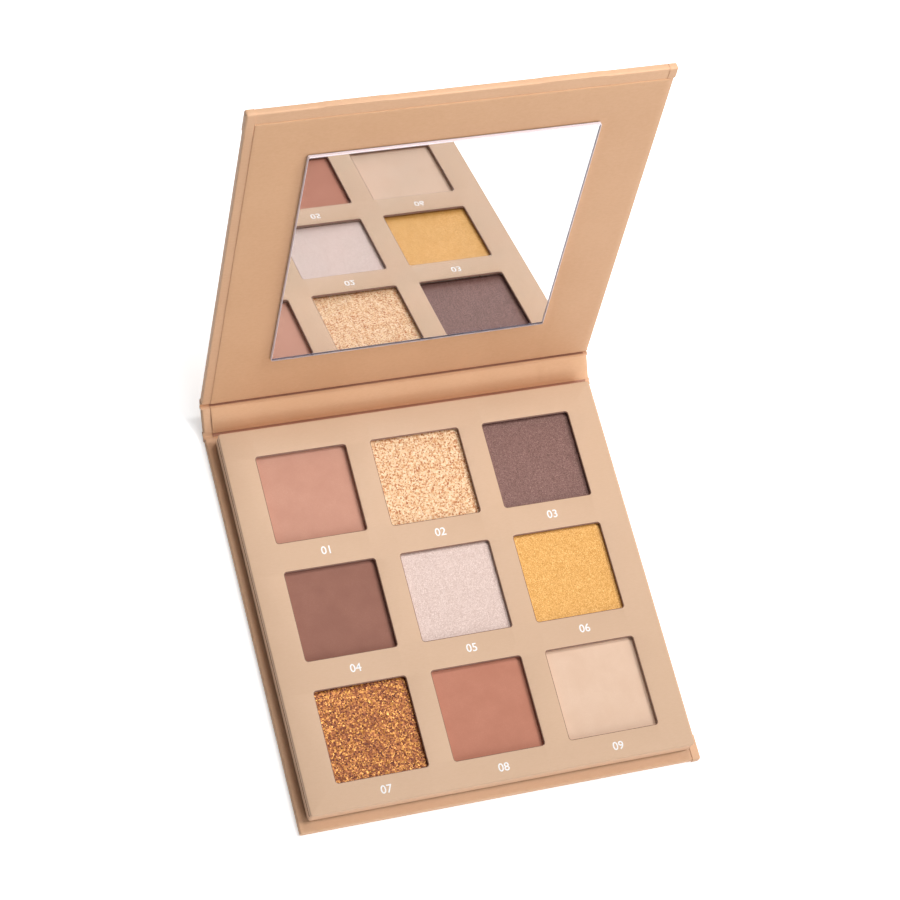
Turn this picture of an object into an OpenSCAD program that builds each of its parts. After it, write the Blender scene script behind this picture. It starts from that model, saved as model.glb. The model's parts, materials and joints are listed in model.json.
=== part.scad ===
/* [Pans and powders] */
// Side of each square pan
pan_side = 26; // [20:0.1:32]
// Height of each pan
pan_h = 3.2; // [2.4:0.1:5]
// Wall thickness of the pans
pan_wall = 0.25; // [0.2:0.05:0.5]
// Corner radius of the pans
pan_r = 1.4; // [1:0.1:3]
// Gap between a pan and its well, on each side
pan_fit = 0.2; // [0.1:0.05:0.4]
// Thickness of the glue under each pan
glue_t = 0.2; // [0.1:0.05:0.3]
// Radius of the glue dot under each pan
glue_r = 5; // [2:0.5:9]
// Gap between a powder and its pan's walls
powder_fit = 0.01; // [0.01:0.01:0.1]
// How far each pressed powder stays below its pan's rim
powder_drop = 0.5; // [0.2:0.1:1]

/* [Tray] */
// Gap between the pans' rims and the face card
rim_gap = 0.4; // [0.1:0.1:1]
// Width of the ribs between wells that are side by side
rib_x = 4.4; // [2:0.1:8]
// Width of the ribs between wells that are one behind the other
rib_y = 5.6; // [2:0.1:8]
// Width of the tray's rails at its left and right sides
rail_side = 7; // [3:0.1:15]
// Width of the tray's rail at its back
rail_back = 6.6; // [3:0.1:15]
// Corner radius of the tray
tray_r = 1; // [0.6:0.1:3]
// Thickness of the face card
face_t = 0.5; // [0.3:0.1:1]
// How far the face card reaches over each pan's edge
window_lip = 1; // [0.5:0.1:2]
// Corner radius of the windows
window_r = 0.8; // [0.5:0.1:3]
// Thickness of the tray's floor card
floor_t = 0.5; // [0.3:0.1:1]
// Thickness of the adhesive tapes
tape_t = 0.1; // [0.05:0.05:0.2]
// Distance of the tray's tape from the tray's edges
tape_inset = 4; // [2:0.5:8]
// Width of the tray's tape
tape_w = 12; // [5:0.5:20]

/* [Cover] */
// Bare margin of the base at each side of the tray
margin_side = 2.3; // [1:0.1:5]
// Bare margin of the base in front of the tray
margin_front = 2.6; // [1:0.1:5]
// Bare margin of the base behind the tray
margin_back = 1.2; // [0.8:0.1:4]
// How far the closed lid reaches past the base at the front
lid_reach = 0.6; // [0:0.1:1.5]
// Thickness of the greyboard in each cover panel
board_t = 1.5; // [1:0.1:2.5]
// Thickness of the wrapping and lining paper
paper_t = 0.2; // [0.1:0.05:0.3]
// Width of the wrap that is turned in over the boards
turn_in = 13; // [8:0.5:16]
// Corner radius of the wrapped panels
panel_r = 0.8; // [0.5:0.1:2]
// Strip of wrap left bare at the liner's left edge
liner_left = 2.3; // [1:0.1:5]
// Strip of wrap left bare at the liner's right edge
liner_right = 1; // [0.5:0.1:5]
// Strip of wrap left bare at the lid's front edge
liner_front = 3.4; // [1:0.1:6]
// How far the base's liner stays inside the tray's outline
liner_tuck = 1.5; // [1:0.1:4]

/* [Spine and paper hinges] */
// Extra width of each paper hinge over the thickness of a panel
hinge_play = 0.2; // [0.1:0.05:0.5]
// Free space round the bead of bent paper in each hinge
fold_play = 0.3; // [0.25:0.05:0.5]
// Free play between the closed lid's mirror and the tray
close_gap = 0.4; // [0.2:0.1:1]
// Rest angle of the spine above the base's plane
spine_rest = 34; // [10:1:80]
// Rest angle of the lid, measured from the spine's plane
lid_rest = 42.5; // [5:0.5:80]

/* [Mirror] */
// Width of the lid's border at each side of the mirror
mirror_border_side = 16.3; // [8:0.1:25]
// Width of the lid's border before and behind the mirror
mirror_border_end = 15.6; // [8:0.1:25]
// Thickness of the mirror glass
mirror_t = 0.8; // [0.6:0.1:1.5]
// Thickness of the silvering and its paint
silver_t = 0.1; // [0.05:0.05:0.2]
// Corner radius of the mirror
mirror_r = 1.2; // [0.5:0.1:5]
// Distance of the mirror's tape from the glass's edge
mirror_tape_inset = 2; // [0:0.5:6]

/* [Magnets] */
// Length of each bar magnet
magnet_len = 16; // [8:0.5:20]
// Width of each bar magnet
magnet_w = 4; // [2:0.1:6]
// Thickness of the tray's magnets
tray_magnet_t = 1.5; // [1:0.1:2]
// Width of the frame left at each side of a tray magnet
magnet_wall = 0.7; // [0.5:0.1:3]
// Distance of each magnet's outer end from the side of the case
magnet_side = 18.3; // [8:0.1:22]
// Distance of the lid's magnets from the lid's front edge
lid_magnet_edge = 1.4; // [0.8:0.1:4]
// Gap between a magnet and its slot, on each side
magnet_fit = 0.1; // [0.05:0.05:0.3]

/* [Hidden] */
$fn = 48;

// The colours of the paper, the boards, the metal and the nine powders
paper_colour = [0.87, 0.69, 0.55];
card_colour = [0.89, 0.75, 0.60];
board_colour = [0.55, 0.50, 0.45];
metal_colour = [0.75, 0.75, 0.77];
tape_colour = [0.93, 0.92, 0.86];
glass_colour = [0.80, 0.86, 0.88];
powder_colours = [[0.78, 0.53, 0.46], [0.92, 0.72, 0.48], [0.40, 0.32, 0.31],
  [0.45, 0.30, 0.26], [0.92, 0.82, 0.80], [0.90, 0.68, 0.30],
  [0.60, 0.33, 0.18], [0.68, 0.40, 0.33], [0.95, 0.82, 0.70]];

// Cuts run this far past the faces that they open
cut = 1;

// The pans set the wells, and the wells, ribs and rails set the tray
well = pan_side + 2 * pan_fit;
window = pan_side - 2 * window_lip;
powder_side = pan_side - 2 * (pan_wall + powder_fit);
powder_h = pan_h - pan_wall - powder_drop;
pitch_x = well + rib_x;
pitch_y = well + rib_y;
rail_front = paper_t + magnet_w + 2 * (magnet_fit + magnet_wall);
tray_w = 3 * well + 2 * (rib_x + rail_side);
tray_len = 3 * well + 2 * rib_y + rail_front + rail_back;

// The tray and its margins set the cover panels: outer wrap, board, turned-in wrap, liner
cover_w = tray_w + 2 * margin_side;
panel_len = tray_len + margin_front + margin_back;
lid_len = panel_len + lid_reach;
panel_t = board_t + 3 * paper_t;
flap_z = paper_t + board_t;

// The tray's layers, counted up from the base panel
tray_y = -panel_len / 2 + margin_front + tray_len / 2;
floor_z = panel_t + tape_t;
frame_z = floor_z + floor_t;
frame_h = glue_t + pan_h + rim_gap;
face_z = frame_z + frame_h;
tray_top = face_z + face_t;
windows_y = tray_y + (rail_front - rail_back) / 2;
pan_z = frame_z + glue_t;

// The closed case sets how far apart the two hinge axes are
mirror_stack = tape_t + silver_t + mirror_t;
spine_pitch = tray_top + close_gap + mirror_stack;
half_gap = (panel_t + hinge_play) / 2;
hinge_y = panel_len / 2 + half_gap;
spine_len = spine_pitch - 2 * half_gap;
fold_r = half_gap - fold_play;

// The mirror fills the lid up to its borders
mirror_w = cover_w - 2 * mirror_border_side;
mirror_len = lid_len - 2 * mirror_border_end;
mirror_y = half_gap + lid_len / 2;

// The magnets lie in the rail in front of the wells, and in the lid's front edge
magnet_x = cover_w / 2 - magnet_side - magnet_len / 2;
tray_magnet_y = tray_y - tray_len / 2 + (paper_t + rail_front) / 2;
tray_magnet_z = face_z - tray_magnet_t;
lid_magnet_y = half_gap + lid_len - lid_magnet_edge - magnet_w / 2;

// Rectangle with round corners, centred on the origin
module round_rect(w, l, r) {
  square([w - 2 * r, l], center = true);
  square([w, l - 2 * r], center = true);
  for (sx = [-1, 1], sy = [-1, 1])
    translate([sx * (w / 2 - r), sy * (l / 2 - r)]) circle(r = r);
}

// Plate with round corners, standing on z
module plate(w, l, h, r, z = 0) {
  translate([0, 0, z]) linear_extrude(h) round_rect(w, l, r);
}

// Plate from y0 to y1 with round corners at y1 only
module tongue(w, y0, y1, h, r, z = 0) {
  translate([0, 0, z]) linear_extrude(h) intersection() {
    translate([0, (y0 + y1) / 2 - r / 2 - cut / 2]) round_rect(w, y1 - y0 + r + cut, r);
    translate([-w, y0]) square([2 * w, y1 - y0 + cut]);
  }
}

// Children on the axis of one of the nine windows, numbered left to right, back to front
module at_window(number) {
  column = (number - 1) % 3 - 1;
  row = floor((number - 1) / 3) - 1;
  translate([column * pitch_x, windows_y - row * pitch_y, 0]) children();
}

// A panel's own frame has its hinge axis on X and its middle plane at z = 0;
// the panel runs along +Y and its inner face looks up
module base_frame() {
  translate([0, hinge_y, panel_t / 2]) rotate([0, 0, 180]) children();
}
module spine_frame() {
  translate([0, hinge_y, panel_t / 2]) rotate([spine_rest, 0, 0]) children();
}
module lid_frame() {
  spine_frame() translate([0, spine_pitch, 0]) rotate([lid_rest, 0, 0]) children();
}

// Greyboard of a panel of length l, in the panel's frame
module panel_board(l) {
  tongue(cover_w - 2 * paper_t, half_gap, half_gap + l - paper_t, board_t,
    panel_r - paper_t / 2, paper_t - panel_t / 2);
}

// Wrap of a panel: outer sheet, edges and three turned-in flaps
module panel_wrap(l) {
  y1 = half_gap + l;
  difference() {
    tongue(cover_w, half_gap, y1, board_t + 2 * paper_t, panel_r, -panel_t / 2);
    tongue(cover_w - 2 * paper_t, half_gap - cut, y1 - paper_t, board_t,
      panel_r - paper_t / 2, paper_t - panel_t / 2);
    tongue(cover_w - 2 * turn_in, half_gap - cut, y1 - turn_in, board_t + cut,
      panel_r, paper_t - panel_t / 2);
  }
}

// Liner of a panel: it lies on the flaps and, between them, on the board.
// front is the bare strip it leaves at the panel's far edge, x0 and x1 its side edges
module panel_liner(l, x0, x1, front) {
  y1 = half_gap + l;
  translate([(x0 + x1) / 2, 0, 0])
    tongue(x1 - x0, half_gap, y1 - front, paper_t, panel_r, panel_t / 2 - paper_t);
  tongue(cover_w - 2 * turn_in, half_gap, y1 - turn_in, 1.5 * paper_t, panel_r,
    flap_z - panel_t / 2);
}

// Slot for a lid magnet, through the board
module magnet_slots() {
  for (side = [-1, 1])
    translate([side * magnet_x, lid_magnet_y, 0])
      cube([magnet_len + 2 * magnet_fit, magnet_w + 2 * magnet_fit, 2 * panel_t], center = true);
}

// Bar magnet standing on z
module magnet(x, y, z, t) {
  translate([x - magnet_len / 2, y - magnet_w / 2, z]) cube([magnet_len, magnet_w, t]);
}

// Hinge fold: the bead of bent paper on the axis and the flat that reaches the spine
module fold() {
  rotate([0, 90, 0]) cylinder(h = cover_w - 2 * panel_r, r = fold_r, center = true);
  translate([-cover_w / 2 + panel_r, 0, -paper_t])
    cube([cover_w - 2 * panel_r, half_gap, 2 * paper_t]);
}

// ---- base ----
module base_board() {
  color(board_colour) base_frame() panel_board(panel_len);
}
module base_wrap() {
  color(paper_colour) base_frame() panel_wrap(panel_len);
}
// The base's liner ends under the tray; the base frame is turned, so left is +X there
module base_liner() {
  edge = tray_w / 2 - liner_tuck;
  color(paper_colour) base_frame()
    panel_liner(panel_len, -edge, edge, margin_front + liner_tuck);
}

// ---- tray ----
module tray_tape() {
  color(tape_colour) translate([0, tray_y, 0])
    difference() {
      plate(tray_w - 2 * tape_inset, tray_len - 2 * tape_inset, tape_t, tray_r, panel_t);
      plate(tray_w - 2 * (tape_inset + tape_w), tray_len - 2 * (tape_inset + tape_w),
        tape_t + 2 * cut, tray_r, panel_t - cut);
    }
}
module tray_floor() {
  color(board_colour) translate([0, tray_y, 0])
    plate(tray_w - 2 * paper_t, tray_len - 2 * paper_t, floor_t, tray_r - paper_t, floor_z);
}
module tray_frame() {
  color(board_colour) difference() {
    translate([0, tray_y, 0])
      plate(tray_w - 2 * paper_t, tray_len - 2 * paper_t, frame_h, tray_r - paper_t, frame_z);
    for (number = [1 : 9])
      at_window(number) plate(well, well, frame_h + 2 * cut, pan_r + pan_fit, frame_z - cut);
    for (side = [-1, 1])
      translate([side * magnet_x, tray_magnet_y, face_z])
        cube([magnet_len + 2 * magnet_fit, magnet_w + 2 * magnet_fit, 2 * tray_magnet_t],
          center = true);
  }
}
module tray_wrap() {
  color(paper_colour) translate([0, tray_y, 0]) difference() {
    plate(tray_w, tray_len, face_z - panel_t, tray_r, panel_t);
    plate(tray_w - 2 * paper_t, tray_len - 2 * paper_t, face_z - panel_t + 2 * cut,
      tray_r - paper_t, panel_t - cut);
  }
}
module face_card() {
  color(card_colour) difference() {
    translate([0, tray_y, 0]) plate(tray_w, tray_len, face_t, tray_r, face_z);
    for (number = [1 : 9])
      at_window(number) plate(window, window, face_t + 2 * cut, window_r, face_z - cut);
  }
}
module tray_magnet_left() {
  color(metal_colour) magnet(-magnet_x, tray_magnet_y, tray_magnet_z, tray_magnet_t);
}
module tray_magnet_right() {
  color(metal_colour) magnet(magnet_x, tray_magnet_y, tray_magnet_z, tray_magnet_t);
}

// ---- pans and powders ----
module pan_glue() {
  color(tape_colour) for (number = [1 : 9])
    at_window(number) translate([0, 0, frame_z]) cylinder(h = glue_t, r = glue_r);
}
module pan(number) {
  color(metal_colour) at_window(number) difference() {
    plate(pan_side, pan_side, pan_h, pan_r, pan_z);
    plate(pan_side - 2 * pan_wall, pan_side - 2 * pan_wall, pan_h, pan_r - pan_wall,
      pan_z + pan_wall);
  }
}
module powder(number) {
  color(powder_colours[number - 1]) at_window(number)
    plate(powder_side, powder_side, powder_h, pan_r - pan_wall - powder_fit, pan_z + pan_wall);
}

// ---- spine ----
module spine_board() {
  color(board_colour) spine_frame()
    translate([-cover_w / 2 + paper_t, half_gap, paper_t - panel_t / 2])
      cube([cover_w - 2 * paper_t, spine_len, board_t]);
}
module spine_wrap() {
  color(paper_colour) spine_frame() difference() {
    translate([-cover_w / 2, half_gap, -panel_t / 2])
      cube([cover_w, spine_len, board_t + 2 * paper_t]);
    translate([-cover_w / 2 + paper_t, half_gap - cut, paper_t - panel_t / 2])
      cube([cover_w - 2 * paper_t, spine_len + 2 * cut, board_t]);
    translate([-cover_w / 2 + turn_in, half_gap - cut, paper_t - panel_t / 2])
      cube([cover_w - 2 * turn_in, spine_len + 2 * cut, board_t + cut]);
  }
}
module spine_liner() {
  x0 = -cover_w / 2 + liner_left;
  x1 = cover_w / 2 - liner_right;
  color(paper_colour) spine_frame() {
    translate([x0, half_gap, panel_t / 2 - paper_t]) cube([x1 - x0, spine_len, paper_t]);
    translate([-cover_w / 2 + turn_in, half_gap, flap_z - panel_t / 2])
      cube([cover_w - 2 * turn_in, spine_len, 1.5 * paper_t]);
  }
}
module lower_fold() {
  color(paper_colour) spine_frame() fold();
}
module upper_fold() {
  color(paper_colour) spine_frame()
    translate([0, spine_pitch, 0]) rotate([0, 0, 180]) fold();
}

// ---- lid ----
module lid_board() {
  color(board_colour) lid_frame() difference() {
    panel_board(lid_len);
    magnet_slots();
  }
}
module lid_wrap() {
  color(paper_colour) lid_frame() panel_wrap(lid_len);
}
module lid_liner() {
  color(paper_colour) lid_frame()
    panel_liner(lid_len, -cover_w / 2 + liner_left, cover_w / 2 - liner_right, liner_front);
}
module lid_magnet_left() {
  color(metal_colour) lid_frame()
    magnet(-magnet_x, lid_magnet_y, paper_t - panel_t / 2, board_t);
}
module lid_magnet_right() {
  color(metal_colour) lid_frame()
    magnet(magnet_x, lid_magnet_y, paper_t - panel_t / 2, board_t);
}

// ---- mirror ----
module mirror_tape() {
  color(tape_colour) lid_frame() translate([0, mirror_y, 0])
    plate(mirror_w - 2 * mirror_tape_inset, mirror_len - 2 * mirror_tape_inset, tape_t,
      mirror_r, panel_t / 2);
}
module mirror_silver() {
  color(metal_colour) lid_frame() translate([0, mirror_y, 0])
    plate(mirror_w, mirror_len, silver_t, mirror_r, panel_t / 2 + tape_t);
}
module mirror_glass() {
  color(glass_colour) lid_frame() translate([0, mirror_y, 0])
    plate(mirror_w, mirror_len, mirror_t, mirror_r, panel_t / 2 + tape_t + silver_t);
}

module pan_1() { pan(1); }
module pan_2() { pan(2); }
module pan_3() { pan(3); }
module pan_4() { pan(4); }
module pan_5() { pan(5); }
module pan_6() { pan(6); }
module pan_7() { pan(7); }
module pan_8() { pan(8); }
module pan_9() { pan(9); }
module powder_1() { powder(1); }
module powder_2() { powder(2); }
module powder_3() { powder(3); }
module powder_4() { powder(4); }
module powder_5() { powder(5); }
module powder_6() { powder(6); }
module powder_7() { powder(7); }
module powder_8() { powder(8); }
module powder_9() { powder(9); }

base_board();
base_wrap();
base_liner();
tray_tape();
tray_floor();
tray_frame();
tray_wrap();
face_card();
tray_magnet_left();
tray_magnet_right();
pan_glue();
pan_1();
pan_2();
pan_3();
pan_4();
pan_5();
pan_6();
pan_7();
pan_8();
pan_9();
powder_1();
powder_2();
powder_3();
powder_4();
powder_5();
powder_6();
powder_7();
powder_8();
powder_9();
spine_board();
spine_wrap();
spine_liner();
lower_fold();
upper_fold();
lid_board();
lid_wrap();
lid_liner();
lid_magnet_left();
lid_magnet_right();
mirror_tape();
mirror_silver();
mirror_glass();
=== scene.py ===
"""Book-style eyeshadow palette: nine pressed powders in a paper-wrapped case with a mirror in its lid."""

import json
import logging
import math
import random
from dataclasses import dataclass
from enum import Enum
from typing import Callable, Iterable, Sequence

import bmesh
import bpy
from mathutils import Matrix, Vector


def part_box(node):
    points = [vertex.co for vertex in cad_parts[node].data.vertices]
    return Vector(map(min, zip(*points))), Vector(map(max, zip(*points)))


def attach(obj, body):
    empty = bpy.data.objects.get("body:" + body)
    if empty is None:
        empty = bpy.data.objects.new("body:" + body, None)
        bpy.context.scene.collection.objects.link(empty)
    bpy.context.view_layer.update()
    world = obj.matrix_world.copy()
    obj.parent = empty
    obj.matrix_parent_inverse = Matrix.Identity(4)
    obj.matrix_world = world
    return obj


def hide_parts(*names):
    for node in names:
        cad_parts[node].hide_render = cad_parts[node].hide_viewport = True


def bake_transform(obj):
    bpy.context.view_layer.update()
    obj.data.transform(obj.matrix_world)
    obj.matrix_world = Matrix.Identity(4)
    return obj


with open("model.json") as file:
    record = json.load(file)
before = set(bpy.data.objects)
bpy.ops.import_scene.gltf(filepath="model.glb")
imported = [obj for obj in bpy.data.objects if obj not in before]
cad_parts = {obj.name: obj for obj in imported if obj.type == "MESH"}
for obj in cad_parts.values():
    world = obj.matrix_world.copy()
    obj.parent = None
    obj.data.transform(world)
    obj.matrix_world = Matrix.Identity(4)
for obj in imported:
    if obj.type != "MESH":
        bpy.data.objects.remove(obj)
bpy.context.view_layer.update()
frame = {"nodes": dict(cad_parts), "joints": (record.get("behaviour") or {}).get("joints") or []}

log = logging.getLogger("palette")

MM = 0.001
WINDOW_LIP = 1.0 * MM

# Places nearer to each other than this are the same place
TOUCH = 1e-6
# The Z part of a normal past which a face is level, and under which it is upright
LEVEL, UPRIGHT = 0.9, 0.3

Colour = tuple[float, float, float]


class Body(Enum):
    """The bodies that the case is jointed from."""

    BASE = "base"
    SPINE = "spine"
    LID = "lid"


class PowderKind(Enum):
    """The three surfaces that a pressed powder can have."""

    MATTE = "matte"
    SHIMMER = "shimmer"
    GLITTER = "glitter"


# ---- small mesh tools ----


def paint(red: float, green: float, blue: float) -> Colour:
    """A colour for a shader.

    Args:
        red, green, blue: the colour as a paint chart gives it, 0 to 255.

    Returns:
        The same colour in linear light.
    """

    def linear(value: float) -> float:
        """One channel in linear light."""
        share = value / 255.0
        return share / 12.92 if share <= 0.04045 else ((share + 0.055) / 1.055) ** 2.4

    return linear(red), linear(green), linear(blue)


def smooth(value: float, start: float, end: float) -> float:
    """A soft step.

    Args:
        value: where to read the step.
        start, end: where it leaves 0 and where it reaches 1.

    Returns:
        A number from 0 to 1.
    """
    share = min(1.0, max(0.0, (value - start) / (end - start)))
    return share * share * (3.0 - 2.0 * share)


def block(bm: bmesh.types.BMesh, low: Vector, high: Vector) -> list[bmesh.types.BMVert]:
    """Adds a block from its lowest to its highest corner.

    Args:
        bm: the mesh it is added to.
        low, high: its two corners.

    Returns:
        The block's eight vertices.
    """
    verts = bmesh.ops.create_cube(bm, size=1.0)["verts"]
    bmesh.ops.scale(bm, vec=high - low, verts=verts)
    bmesh.ops.translate(bm, vec=(low + high) / 2, verts=verts)
    return verts


def ease_edges(
    bm: bmesh.types.BMesh, edges: Iterable[bmesh.types.BMEdge], radius: float, steps: int
) -> None:
    """Rounds some edges.

    Args:
        bm: the mesh.
        edges: the edges that get round.
        radius: the radius of the rounding.
        steps: the number of faces across it.
    """
    bmesh.ops.bevel(
        bm,
        geom=list(edges),
        offset=radius,
        offset_type="OFFSET",
        segments=steps,
        profile=0.5,
        affect="EDGES",
        clamp_overlap=True,
        material=-1,
    )


def slice_at(
    bm: bmesh.types.BMesh, point: Sequence[float], normal: Sequence[float], drop: bool = False
) -> None:
    """Cuts a mesh along a plane.

    Args:
        bm: the mesh.
        point: a point of the plane.
        normal: the plane's direction.
        drop: whether what lies on the normal's side goes.
    """
    bmesh.ops.bisect_plane(
        bm,
        geom=bm.verts[:] + bm.edges[:] + bm.faces[:],
        dist=1e-7,
        plane_co=point,
        plane_no=normal,
        clear_outer=drop,
    )


def level_edges(
    bm: bmesh.types.BMesh, height: float, keep: Callable[[bmesh.types.BMEdge], bool]
) -> list[bmesh.types.BMEdge]:
    """The edges of a flat face's outline.

    Args:
        bm: the mesh.
        height: the level the edges lie at.
        keep: says whether an edge is wanted.

    Returns:
        The edges at that level between a flat face and an upright one.
    """
    found = []
    for edge in bm.edges:
        if any(abs(v.co.z - height) > TOUCH for v in edge.verts) or len(edge.link_faces) != 2:
            continue
        flats = sum(abs(f.normal.z) > LEVEL for f in edge.link_faces)
        if flats == 1 and keep(edge):
            found.append(edge)
    return found


def upright_edges(bm: bmesh.types.BMesh) -> list[bmesh.types.BMEdge]:
    """The edges that run along Z."""
    return [
        e
        for e in bm.edges
        if (e.verts[0].co - e.verts[1].co).xy.length < 1e-7 and e.calc_length() > 1e-7
    ]


def box_in(node: str, seat: Matrix) -> tuple[Vector, Vector]:
    """Where a CAD node is in a panel's own frame.

    Args:
        node: the node's name.
        seat: the panel's frame in the row frame.

    Returns:
        Its lowest and highest corner there.
    """
    back = seat.inverted()
    points = [back @ v.co for v in frame["nodes"][node].data.vertices]
    low = Vector(min(p[axis] for p in points) for axis in range(3))
    high = Vector(max(p[axis] for p in points) for axis in range(3))
    return low, high


def make_piece(
    name: str,
    bm: bmesh.types.BMesh,
    finishes: Sequence[bpy.types.Material],
    seat: Matrix | None = None,
    sharp: float = 34.0,
    flat: bool = False,
    outwards: bool = True,
) -> bpy.types.Object:
    """Turns a finished mesh into an object at the origin.

    Args:
        name: the piece's name.
        bm: its mesh, which is used up.
        finishes: its materials, in the order of their index.
        seat: the frame the mesh was built in, if it isn't the row frame.
        sharp: the angle in degrees past which an edge stays sharp.
        flat: whether every face is shaded flat.
        outwards: whether the faces are turned outwards first.

    Returns:
        The new object.
    """
    if seat is not None:
        bmesh.ops.transform(bm, matrix=seat, verts=bm.verts)
    if outwards:
        bmesh.ops.recalc_face_normals(bm, faces=bm.faces)
    for face in bm.faces:
        face.smooth = not flat
    mesh = bpy.data.meshes.new(name)
    bm.to_mesh(mesh)
    bm.free()
    if not flat:
        mesh.set_sharp_from_angle(angle=math.radians(sharp))
    for finish in finishes:
        mesh.materials.append(finish)
    piece = bpy.data.objects.new(name, mesh)
    bpy.context.scene.collection.objects.link(piece)
    return piece


def settle(
    piece: bpy.types.Object, body: Body, stands_for: Sequence[str] = ()
) -> None:
    """Lets a piece ride on a body and hides the CAD nodes that it replaces.

    Args:
        piece: the new piece.
        body: the body that carries it.
        stands_for: the CAD nodes that it replaces.
    """
    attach(piece, body.value)
    register(piece, stands_for)


def register(
    piece: bpy.types.Object, stands_for: Sequence[str] = ()
) -> None:
    """Says what a piece stands for and reports it.

    Args:
        piece: the new piece.
        stands_for: the CAD nodes that it replaces.
    """
    if stands_for:
        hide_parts(*stands_for)
    log.info("%s: %d faces", piece.name, len(piece.data.polygons))


# ---- shader tools ----


class Tree:
    """Writes the nodes of one material or node group."""

    def __init__(self, tree: bpy.types.NodeTree) -> None:
        """Starts on an empty tree."""
        self.tree = tree

    def node(
        self, kind: str, inputs: dict[str | int, object] | None = None, **settings: object
    ) -> bpy.types.Node:
        """Adds a node.

        Args:
            kind: the node's type name, without its "ShaderNode" start.
            inputs: a value, or a socket to link from, for each named or numbered input.
            settings: the node's own properties.

        Returns:
            The new node.
        """
        made = self.tree.nodes.new(kind if kind.startswith("Node") else "ShaderNode" + kind)
        for key, value in settings.items():
            setattr(made, key, value)
        for key, value in (inputs or {}).items():
            if isinstance(value, bpy.types.NodeSocket):
                self.tree.links.new(value, made.inputs[key])
            else:
                made.inputs[key].default_value = value
        return made

    def place(self) -> bpy.types.NodeSocket:
        """The object's own coordinates, in metres."""
        return self.node("TexCoord").outputs["Object"]

    def noise(
        self, place: bpy.types.NodeSocket, size: float, detail: float = 2.0, rough: float = 0.5
    ) -> bpy.types.NodeSocket:
        """A soft random field.

        Args:
            place: the coordinates.
            size: how wide its spots are, in metres.
            detail: how many finer layers it has.
            rough: how strong they are.

        Returns:
            The field, from 0 to 1.
        """
        inputs = {"Vector": place, "Scale": 1.0 / size, "Detail": detail, "Roughness": rough}
        return self.node("TexNoise", inputs).outputs["Fac"]

    def remap(
        self, value: bpy.types.NodeSocket, start: float, end: float, low: float, high: float
    ) -> bpy.types.NodeSocket:
        """Maps a value from one span to another, without leaving it.

        Args:
            value: what is mapped.
            start, end: the span it has.
            low, high: the span it gets.

        Returns:
            The mapped value.
        """
        inputs = {"Value": value, "From Min": start, "From Max": end, "To Min": low, "To Max": high}
        return self.node("MapRange", inputs).outputs["Result"]

    def blend(self, share: object, first: object, second: object) -> bpy.types.NodeSocket:
        """Mixes two colours.

        Args:
            share: how much of the second colour shows.
            first, second: the two colours, or sockets with them.

        Returns:
            The mixed colour.
        """
        return self.node(
            "Mix", {0: share, 6: opaque(first), 7: opaque(second)}, data_type="RGBA"
        ).outputs[2]

    def maths(self, operation: str, first: object, second: object = 0.0) -> bpy.types.NodeSocket:
        """Does one sum with two values and returns its result."""
        return self.node("Math", {0: first, 1: second}, operation=operation).outputs[0]

    def ramp(
        self, value: bpy.types.NodeSocket, stops: Sequence[tuple[float, Colour]]
    ) -> bpy.types.NodeSocket:
        """Colours a value.

        Args:
            value: what is coloured, from 0 to 1.
            stops: each stop's place and colour, in order.

        Returns:
            The colour.
        """
        made = self.node("ValToRGB", {0: value})
        made.color_ramp.interpolation = "LINEAR"
        stones = made.color_ramp.elements
        while len(stones) < len(stops):
            stones.new(0.5)
        for stone, (position, colour) in zip(stones, stops):
            stone.position = position
            stone.color = opaque(colour)
        return made.outputs["Color"]

    def bump(self, height: bpy.types.NodeSocket, depth: float) -> bpy.types.NodeSocket:
        """Turns a height into a normal.

        Args:
            height: the height field.
            depth: how deep it is, in metres.

        Returns:
            The normal.
        """
        made = self.node("Bump", {"Height": height, "Distance": depth, "Strength": 1.0})
        return made.outputs["Normal"]


def opaque(colour: object) -> object:
    """A colour with its alpha, or the socket that was given."""
    if isinstance(colour, bpy.types.NodeSocket):
        return colour
    return (*colour, 1.0)


def new_material(name: str) -> tuple[bpy.types.Material, Tree]:
    """Starts a material.

    Args:
        name: its name.

    Returns:
        The material and the writer of its nodes.
    """
    material = bpy.data.materials.new(name)
    material.use_nodes = True
    material.node_tree.nodes.clear()
    return material, Tree(material.node_tree)


def close_material(tree: Tree, inputs: dict[str | int, object]) -> None:
    """Ends a material with a Principled shader.

    Args:
        tree: the writer of its nodes.
        inputs: the shader's values and links.
    """
    shader = tree.node("BsdfPrincipled", inputs)
    tree.node("OutputMaterial", {"Surface": shader.outputs["BSDF"]})


class Pattern(Enum):
    """The patterns that several materials share, each a node group."""

    PAPER = "paper_grain"
    SPECKS = "fine_specks"

    def group(self) -> bpy.types.NodeTree:
        """The pattern's node group, built at its first use."""
        found = bpy.data.node_groups.get(self.value)
        if found is None:
            found = bpy.data.node_groups.new(self.value, "ShaderNodeTree")
            build = {Pattern.PAPER: build_paper_grain, Pattern.SPECKS: build_fine_specks}[self]
            build(found)
        return found

    def put(self, tree: Tree, inputs: dict[str | int, object]) -> bpy.types.Node:
        """Places the pattern in a material.

        Args:
            tree: the writer of the material's nodes.
            inputs: the pattern's values.

        Returns:
            The group node.
        """
        made = tree.node("Group", node_tree=self.group())
        for key, value in inputs.items():
            made.inputs[key].default_value = value
        return made


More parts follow.
